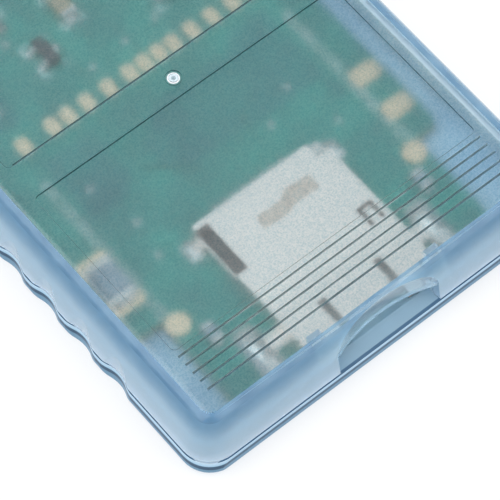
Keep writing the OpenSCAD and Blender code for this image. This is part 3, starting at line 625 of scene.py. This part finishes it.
def top_material(centre, normal):
    """Material of a face of the upper shell."""
    high = centre.z > CASE_TOP - FACE_DEPTH
    if high and abs(centre.x) < FACE_X and abs(centre.y) < FACE_Y:
        return label_face(centre, normal)
    if high and normal.z > LEVEL:
        return FACE_OUT
    if normal.z < -LEVEL and centre.z > CASE_TOP - ROOF_T - CEILING_SLACK:
        return FACE_IN
    if abs(centre.x) < NOTCH_SIDE and centre.y < NOTCH_Y and centre.z > SHIELD_TOP:
        return NOTCH
    if not outside(centre):
        return inner_face(centre)
    # The upper part of the round edge gets painted shade
    if normal.z > UPPER_EDGE:
        return EDGE_PAINTED_SHADE
    # Faces in the seam groove get painted shade
    seam = centre.z < PARTING_Z + SEAM_H + TOUCH and abs(normal.z) < LEVEL
    return SEAM if seam else WALL_OUT


def bottom_material(centre, normal):
    """Material of a face of the lower shell."""
    if normal.z > LEVEL and abs(centre.z - PARTING_Z) < TOUCH:
        return RIM_TOP
    underside = normal.z < -LEVEL and centre.z < TOUCH
    return LOWER_OUT if outside(centre) or underside else WALL_IN


def board_material(centre, normal):
    return MASK if abs(normal.z) > BOARD_SIDE else LAMINATE


def capped(name, body):
    """Chooser for a chip part: tin on the caps at both Y ends."""
    lo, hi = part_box(name)
    middle = (lo.y + hi.y) / 2
    cap = (hi.y - lo.y) / 2 * CAP_FROM
    return lambda centre, normal: TIN if abs(centre.y - middle) > cap else body


def leaded(name, lead):
    """Chooser for a resin package: tin on the leads at both X ends."""
    lo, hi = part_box(name)
    first, last = lo.x + lead - TOUCH, hi.x - lead + TOUCH
    return lambda centre, normal: TIN if centre.x < first or centre.x > last else RESIN


SOFT_SEGMENTS = 2
SOFT_ANGLE = math.radians(40)


def soften(name, width):
    """Breaks the sharp edges of a CAD node, as pressing or moulding does."""
    bevel = nodes[name].modifiers.new("soften", "BEVEL")
    bevel.width = width
    bevel.segments = SOFT_SEGMENTS
    bevel.limit_method = "ANGLE"
    bevel.angle_limit = SOFT_ANGLE
    bevel.harden_normals = False


# Body of each chip part, leads of each package, and radius of the edges that are broken
CHIP_BODIES = {
    "left_capacitor": GREY_CERAMIC,
    "right_capacitor": GREY_CERAMIC,
    "side_fuse": GREY_CERAMIC,
    "input_capacitor": TAN_CERAMIC,
    "output_capacitor": TAN_CERAMIC,
}
LEADS = {"transistor": 0.62 * MM, "voltage_regulator": 1.42 * MM, "level_shifter": 1.02 * MM}
CHIP_EDGE = 0.05 * MM
SOFT_EDGES = {"socket_shield": 0.05 * MM, "eject_slider": 0.04 * MM, "circuit_board": 0.04 * MM}
TOP_MATERIALS = [FACE_OUT, FACE_IN, WALL_OUT, WALL_PAINTED_LIGHT, GROOVE_PAINTED_SHADE, SEAM, NOTCH, EDGE_PAINTED_SHADE, WALL_PAINTED_SHADE]

smooth(dress("top_shell", TOP_MATERIALS, top_material))
smooth(dress("bottom_shell", [LOWER_OUT, WALL_IN, RIM_TOP], bottom_material))
dress("circuit_board", [MASK, LAMINATE], board_material)
for number in range(1, 9):
    dress(f"console_contact_{number}", [GOLD])
    smooth(dress(f"socket_contact_{number}", [GOLD]))
for name in ("programming_pads", "locating_pads", "side_pads", "detect_contact"):
    smooth(dress(name, [GOLD]))
smooth(dress("socket_pads", [TIN]))
smooth(dress("solder_joints", [TIN]), JOINT_SMOOTH)
dress("socket_shield", [STEEL])
dress("socket_base", [SOCKET])
dress("eject_slider", [BROWN])
smooth(dress("cam_pin", [SPRING]))
dress("pull_up_resistors", [RESIN, TIN], capped("pull_up_resistors", RESIN))
for name, body in CHIP_BODIES.items():
    dress(name, [body, TIN], capped(name, body))
    soften(name, CHIP_EDGE)
for name, lead in LEADS.items():
    dress(name, [RESIN, TIN], leaded(name, lead))
for name, width in SOFT_EDGES.items():
    soften(name, width)


# Shapes for the added pieces: plan sizes in mm as on a drawing, heights and thickness in metres


def piece(name, mesh_data, material):
    data = bpy.data.meshes.new(name)
    mesh_data.to_mesh(data)
    mesh_data.free()
    data.materials.append(material)
    obj = bpy.data.objects.new(name, data)
    bpy.context.scene.collection.objects.link(obj)
    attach(obj, BODY)
    return obj


def rectangle(x0, y0, x1, y1):
    return [(x0, y0), (x1, y0), (x1, y1), (x0, y1)]


def circle(bm, x, y, rx, ry, z, steps):
    """Vertices round an oval."""
    turns = [2 * math.pi * k / steps for k in range(steps)]
    return [bm.verts.new(((x + rx * math.cos(a)) * MM, (y + ry * math.sin(a)) * MM, z)) for a in turns]


def bridge(bm, one, two):
    """Faces between two closed loops of vertices."""
    for k in range(len(one)):
        n = (k + 1) % len(one)
        bm.faces.new((one[k], one[n], two[n], two[k]))


def slab(bm, outline, z, thickness):
    """A closed plate on top of z, with its outline's corners given counter-clockwise."""
    low = [bm.verts.new((x * MM, y * MM, z)) for x, y in outline]
    high = [bm.verts.new((x * MM, y * MM, z + thickness)) for x, y in outline]
    bm.faces.new(list(reversed(low)))
    bm.faces.new(high)
    bridge(bm, low, high)


# Steps of a track's round end, and the least cosine by which a mitre is drawn out
END_STEPS = 5
MITRE_LIMIT = 0.5


def round_end(point, away, half):
    """Half circle round the end of a track, without its first and last point."""
    start = math.atan2(away.y, away.x) - math.pi / 2
    turns = [start + math.pi * k / END_STEPS for k in range(1, END_STEPS)]
    return [point + Vector((math.cos(a), math.sin(a))) * half for a in turns]


def track(bm, points, width, thickness):
    """A line on the board with mitred corners and round ends through the points."""
    path = [Vector(p) for p in points]
    left, right = [], []
    for i, p in enumerate(path):
        before = (p - path[i - 1]).normalized() if i else (path[1] - p).normalized()
        after = (path[i + 1] - p).normalized() if i < len(path) - 1 else before
        middle = (before + after).normalized()
        side = Vector((-middle.y, middle.x)) * width / 2 / max(middle.dot(before), MITRE_LIMIT)
        left.append(p + side)
        right.append(p - side)
    end = round_end(path[-1], path[-1] - path[-2], width / 2)
    begin = round_end(path[0], path[0] - path[1], width / 2)
    slab(bm, [(v.x, v.y) for v in right + end + left[::-1] + begin], BOARD_TOP, thickness)


def ring(bm, x, y, inner, outer, z, height, steps):
    """A flat ring on top of z."""
    corners = ((inner, z), (outer, z), (outer, z + height), (inner, z + height))
    loops = [circle(bm, x, y, r, r, level, steps) for r, level in corners]
    for one, two in zip(loops, loops[1:] + loops[:1]):
        bridge(bm, one, two)


def dome(bm, x, y, rx, ry, height, steps=16, rings=4):
    """A wetted drop of solder on the board with an oval foot."""
    loops = []
    for j in range(rings):
        a = math.pi / 2 * j / rings
        z = BOARD_TOP + height * math.sin(a)
        loops.append(circle(bm, x, y, rx * math.cos(a), ry * math.cos(a), z, steps))
    top = bm.verts.new((x * MM, y * MM, BOARD_TOP + height))
    bm.faces.new(list(reversed(loops[0])))
    for one, two in zip(loops, loops[1:]):
        bridge(bm, one, two)
    for k in range(steps):
        bm.faces.new((loops[-1][k], loops[-1][(k + 1) % steps], top))


# Added pieces


def middle_mm(name):
    """Middle of a CAD node in plan, in mm."""
    lo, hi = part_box(name)
    return (lo.x + hi.x) / 2 / MM, (lo.y + hi.y) / 2 / MM


MASK_T = 0.03 * MM
INK_T = 0.012 * MM
SOCKET_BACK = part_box("socket_shield")[1].y / MM
TAIL_XS = [middle_mm(f"socket_contact_{k}")[0] for k in range(1, 9)]
CONTACT_XS = [middle_mm(f"console_contact_{k}")[0] for k in range(1, 9)]
CONTACT_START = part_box("console_contact_1")[0].y / MM
PAD_ROW = middle_mm("programming_pads")[1]

# Tracks: their ends at the row of pads, and how far from the socket they start and turn
TRACK_W = 0.28
TRACK_ENDS = (-8.1, -5.9, -3.4, -0.9, 0.8, 2.5, 4.2, 6.4)
TAIL_GAP = 1.2
FIRST_TURN = 3.0
TURN_SPREAD = 0.9
# Distance from the row of pads, lap under a console contact, straight run before it, share of
# its place at which a track leaves the pads, and the space kept round the regulator
PAD_GAP = 1.6
CONTACT_LAP = 0.2
CONTACT_RUN = 1.2
INNER_SHARE = 0.82
REGULATOR_CLEAR = 3.2


def copper_tracks():
    """Tracks from the socket's tails to the row of pads, and on to the console contacts."""
    bm = bmesh.new()
    middle = (len(TRACK_ENDS) - 1) / 2
    for k, (x, far) in enumerate(zip(TAIL_XS, TRACK_ENDS)):
        turn = SOCKET_BACK + FIRST_TURN + abs(k - middle) * TURN_SPREAD
        leave, arrive = (x, SOCKET_BACK + TAIL_GAP), (far, PAD_ROW - PAD_GAP)
        track(bm, [leave, (x, turn), (far, turn + abs(far - x)), arrive], TRACK_W, MASK_T)
    regulator_x = middle_mm("voltage_regulator")[0]
    end = CONTACT_START + CONTACT_LAP
    turn = end - CONTACT_RUN
    for x in CONTACT_XS:
        inner = x * INNER_SHARE
        if abs(inner - regulator_x) < REGULATOR_CLEAR:
            continue
        start = (inner, PAD_ROW + PAD_GAP)
        track(bm, [start, (inner, turn - abs(x - inner)), (x, turn), (x, end)], TRACK_W, MASK_T)
    piece("copper_tracks", bm, COPPER)


# Strips: distance from the middle, width, and ends along Y
STRIP_X = 14.25
STRIP_W = 1.1
STRIP_ENDS = (-0.5, -18.2)


def ground_strips():
    """Wide pale strips along both sides of the socket."""
    bm = bmesh.new()
    for side in (-1, 1):
        track(bm, [(side * STRIP_X, y) for y in STRIP_ENDS], STRIP_W, MASK_T)
    piece("ground_strips", bm, STRIP)


# Outlines of the wide copper areas, where the photograph shows the board greyer or darker
POURS = (
    [
        (-4.6, -6.4), (1.0, -7.6), (12.4, -7.6), (12.4, -10.8), (12.9, -11.2),
        (12.9, 1.4), (8.8, 1.4), (7.4, 0.0), (-1.0, 0.0), (-4.6, -3.0),
    ],
    [(-13.0, -6.0), (-9.0, -6.0), (-7.4, -4.4), (-7.4, 1.2), (-13.0, 1.2)],
    rectangle(-14.0, 6.2, -11.6, 14.2),
    [(11.6, 6.2), (14.4, 6.2), (14.4, 14.0), (13.6, 14.8), (11.6, 14.8)],
)


def copper_pours():
    """Wide copper areas, lower than the tracks that cross them."""
    bm = bmesh.new()
    for outline in POURS:
        slab(bm, outline, BOARD_TOP, MASK_T / 2)
    piece("copper_pours", bm, POUR)


# Lands and their places, clear of the parts and pads
VIA_HOLE_R = 0.16
VIA_R = 0.34
VIA_T = 0.045 * MM
VIAS = (
    (5.6, -8.6), (9.2, -6.4), (-10.2, -8.8), (-11.4, -3.4), (10.6, -12.2), (-10.8, -12.6), (-3.2, 6.6),
    (0.9, 6.9), (4.6, 7.2), (12.6, 7.6), (-12.8, 8.2), (-7.9, 13.6), (2.2, 17.2), (6.8, 18.4),
)


def vias():
    """Plated lands round the holes between the board's two sides."""
    bm = bmesh.new()
    for x, y in VIAS:
        ring(bm, x, y, VIA_HOLE_R, VIA_R, BOARD_TOP, VIA_T, steps=16)
    piece("vias", bm, TIN)


# Place of the drops on the tails, laps on a cap and on a lead, width beside a cap, and how far
# the transistor's two leads are from its third one
TAIL_REACH = 0.75
CAP_LAP = 0.02
CAP_SIDE = 0.1
LEAD_LAP = 0.1
LEAD_PITCH = 0.95


def pin_solder():
    """Solder over the tails of the socket's contacts."""
    bm = bmesh.new()
    for x in TAIL_XS:
        dome(bm, x, SOCKET_BACK + TAIL_REACH, rx=0.34, ry=0.62, height=0.26 * MM)
    smooth(piece("pin_solder", bm, TIN), ROUND_SMOOTH)


def chip_solder():
    """Small fillets at the caps of the chip parts and at the transistor's three leads."""
    bm = bmesh.new()
    for name in CHIP_BODIES:
        lo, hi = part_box(name)
        x = middle_mm(name)[0]
        for y in (lo.y / MM + CAP_LAP, hi.y / MM - CAP_LAP):
            dome(bm, x, y, rx=(hi.x - lo.x) / 2 / MM + CAP_SIDE, ry=0.42, height=0.42 * MM, steps=18)
    lo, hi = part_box("transistor")
    first, last = lo.x / MM + LEAD_LAP, hi.x / MM - LEAD_LAP
    y = middle_mm("transistor")[1]
    for place in ((first, y - LEAD_PITCH), (first, y + LEAD_PITCH), (last, y)):
        dome(bm, *place, rx=0.45, ry=0.45, height=0.3 * MM)
    smooth(piece("chip_solder", bm, TIN), ROUND_SMOOTH)


# Parts with printed marks, the marks' distance from them, and the legs of a mark
OUTLINED = ("level_shifter", "voltage_regulator", "input_capacitor", "output_capacitor", "transistor")
OUTLINE_GAP_X = 0.35
OUTLINE_GAP_Y = 0.45
OUTLINE_LEG = 0.9
OUTLINE_W = 0.15


def component_outlines():
    """Printed corner marks round the larger parts."""
    bm = bmesh.new()
    for name in OUTLINED:
        lo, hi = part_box(name)
        columns = ((lo.x / MM - OUTLINE_GAP_X, OUTLINE_LEG), (hi.x / MM + OUTLINE_GAP_X, -OUTLINE_LEG))
        rows = ((lo.y / MM - OUTLINE_GAP_Y, OUTLINE_LEG), (hi.y / MM + OUTLINE_GAP_Y, -OUTLINE_LEG))
        for x, leg_x in columns:
            for y, leg_y in rows:
                track(bm, [(x + leg_x, y), (x, y), (x, y + leg_y)], OUTLINE_W, INK_T)
    piece("component_outlines", bm, WHITE_INK)


# Outline of the block, where the photograph has a blurred mark
STAMP = [
    (-2.4, -17.4), (0.6, -17.5), (0.9, -17.1), (4.1, -17.2),
    (4.2, -15.6), (1.2, -15.3), (0.8, -16.0), (-2.3, -16.0),
]


def shield_stamp():
    """A plain printed block on the shield, with nothing written in it."""
    bm = bmesh.new()
    slab(bm, STAMP, SHIELD_TOP, INK_T)
    piece("shield_stamp", bm, STAMP_INK)


# Gate mark: place along Y, its foot, and the ring's and the core's radii and thickness
GATE_Y = -1.5
GATE_FOOT = CASE_TOP - 0.148 * MM
GATE_R = 0.6
GATE_CORE_R = 0.24
GATE_PIT_R = 0.08
GATE_T = 0.05 * MM
GATE_CORE_T = 0.03 * MM


def gate_scar():
    """Whitened plastic in the sunk gate mark, and its core."""
    bm = bmesh.new()
    ring(bm, 0.0, GATE_Y, GATE_CORE_R, GATE_R, GATE_FOOT, GATE_T, steps=40)
    piece("gate_scar", bm, GATE_WHITE)
    core = bmesh.new()
    ring(core, 0.0, GATE_Y, GATE_PIT_R, GATE_CORE_R, GATE_FOOT, GATE_CORE_T, steps=32)
    piece("gate_core", core, GATE_CORE)


# The panels' facing edges along Y, their corners' length, and the thickness of the lines
PANEL_A = -3.35
PANEL_B = 0.45
PANEL_ROUND = 0.6
LINE_T = 0.012 * MM
STEP_SHADE_T = 0.12 * MM
# Each line's start and end along Y, the height of its foot, and its thickness
# Painted shade: thin dark sheets on the recessed floor and against a step, at the panels' edges
SHADE_LINES = (
    (PANEL_B + 0.08, PANEL_B + 0.2, CASE_TOP - PANEL_DEPTH, LINE_T),
    (PANEL_A - 0.03, PANEL_A - 0.005, CASE_TOP - PANEL_DEPTH, STEP_SHADE_T),
)
# Painted highlight: thin pale sheets beside the panels' steps
HIGHLIGHT_LINES = (
    (PANEL_A + 0.09, PANEL_A + 0.13, CASE_TOP - LINE_T, LINE_T),
    (PANEL_B - 0.1, PANEL_B - 0.06, CASE_TOP - LINE_T, LINE_T),
)


def panel_lines(name, lines, material):
    """Fine lines across the label face, as long as the straight part of a panel's edge: thin sheets that
    carry painted shade and painted highlight.
    """
    half = (case_hi.x - PANEL_MARGIN) / MM - PANEL_ROUND
    bm = bmesh.new()
    for start, end, foot, thickness in lines:
        slab(bm, rectangle(-half, start, half, end), foot, thickness)
    piece(name, bm, material)


# Wire of the spring and its turns
WIRE_R = 0.06 * MM
WIRE_SIDES = 8
SPRING_TURNS = 12
STEPS_A_TURN = 20


def coil_spring():
    """Coil spring behind the slider, built to the length of the CAD spring, which it replaces. The real
    spring shortens towards its seat as a card goes in.
    """
    lo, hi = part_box("eject_spring")
    x, z = (lo.x + hi.x) / 2, (lo.z + hi.z) / 2
    radius = (hi.x - lo.x) / 2 - WIRE_R
    count = SPRING_TURNS * STEPS_A_TURN
    rise = (hi.y - lo.y - 2 * WIRE_R) / count
    run = radius * 2 * math.pi / STEPS_A_TURN
    round_wire = [2 * math.pi * j / WIRE_SIDES for j in range(WIRE_SIDES)]
    bm = bmesh.new()
    hoops = []
    for k in range(count + 1):
        angle = 2 * math.pi * k / STEPS_A_TURN
        out = Vector((math.cos(angle), 0, math.sin(angle)))
        centre = Vector((x, lo.y + WIRE_R + rise * k, z)) + out * radius
        side = out.cross(Vector((-out.z * run, rise, out.x * run))).normalized()
        spokes = [(out * math.cos(a) + side * math.sin(a)) * WIRE_R for a in round_wire]
        hoops.append([bm.verts.new(centre + spoke) for spoke in spokes])
    for near, far in zip(hoops, hoops[1:]):
        bridge(bm, near, far)
    bm.faces.new(hoops[0])
    bm.faces.new(list(reversed(hoops[-1])))
    bmesh.ops.recalc_face_normals(bm, faces=bm.faces)
    obj = piece("spring_coil", bm, SPRING)
    smooth(obj, ROUND_SMOOTH)
    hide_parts("eject_spring")
    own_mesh(obj)


coil_spring()
gate_scar()
panel_lines("panel_shade", SHADE_LINES, GROOVE_PAINTED_SHADE)
panel_lines("panel_highlight", HIGHLIGHT_LINES, STEP_HIGHLIGHT)
copper_tracks()
ground_strips()
copper_pours()
vias()
pin_solder()
chip_solder()
component_outlines()
shield_stamp()


# Stage, light and background

WHITE = (1.0, 1.0, 1.0, 1.0)
FLOOR_HALF = 1.5
FLOOR_Z = -0.02 * MM
# Share of plain white that the camera sees in the floor
FLOOR_WHITE = 0.6
# Strength of the world as a light, and as it is seen
WORLD_LIGHT = 0.8
WORLD_SEEN = 1.0


def floor():
    """A pale floor that keeps the object's shadow and looks whiter than the lamps make it."""
    mesh = bpy.data.meshes.new("floor")
    corners = [(x, y, FLOOR_Z) for x, y in rectangle(-FLOOR_HALF, -FLOOR_HALF, FLOOR_HALF, FLOOR_HALF)]
    mesh.from_pydata(corners, [], [(0, 1, 2, 3)])
    obj = bpy.data.objects.new("floor", mesh)
    bpy.context.scene.collection.objects.link(obj)
    m = Material("floor", rgb(250, 250, 250), roughness=0.9)
    seen = m.node("ShaderNodeLightPath").outputs["Is Camera Ray"]
    white = m.node("ShaderNodeEmission", Color=WHITE, Strength=1.0)
    share = m.maths("MULTIPLY", seen, FLOOR_WHITE)
    m.link(m.mixed(share, m.shader.outputs[0], white.outputs[0]), m.output.inputs["Surface"])
    mesh.materials.append(m.data)


def lamp(name, place, size, power):
    """A square soft box that points at the middle of the model."""
    data = bpy.data.lights.new(name, "AREA")
    data.shape = "RECTANGLE"
    data.size = size
    data.size_y = size
    data.energy = power
    obj = bpy.data.objects.new(name, data)
    obj.location = place
    obj.rotation_mode = "QUATERNION"
    obj.rotation_quaternion = (-Vector(place)).to_track_quat("-Z", "Y")
    bpy.context.scene.collection.objects.link(obj)


def backdrop():
    """A white world, a little dimmer as a light than it looks."""
    world = bpy.data.worlds.new("studio")
    bpy.context.scene.world = world
    world.use_nodes = True
    sky = Tree(world.node_tree)
    shade = sky.tree.nodes["Background"]
    shade.inputs["Color"].default_value = WHITE
    ray = sky.node("ShaderNodeLightPath").outputs
    seen = sky.maths("MAXIMUM", ray["Is Camera Ray"], ray["Is Glossy Ray"])
    seen = sky.maths("MAXIMUM", seen, ray["Is Transmission Ray"])
    sky.link(sky.spread(seen, WORLD_LIGHT, WORLD_SEEN), shade.inputs["Strength"])


make_camera()
floor()
backdrop()
lamp("key", place=(-0.38, 0.12, 0.78), size=0.8, power=3.6)
lamp("fill", place=(0.4, -0.5, 0.7), size=0.7, power=1.8)
bpy.context.scene.view_settings.view_transform = "Standard"
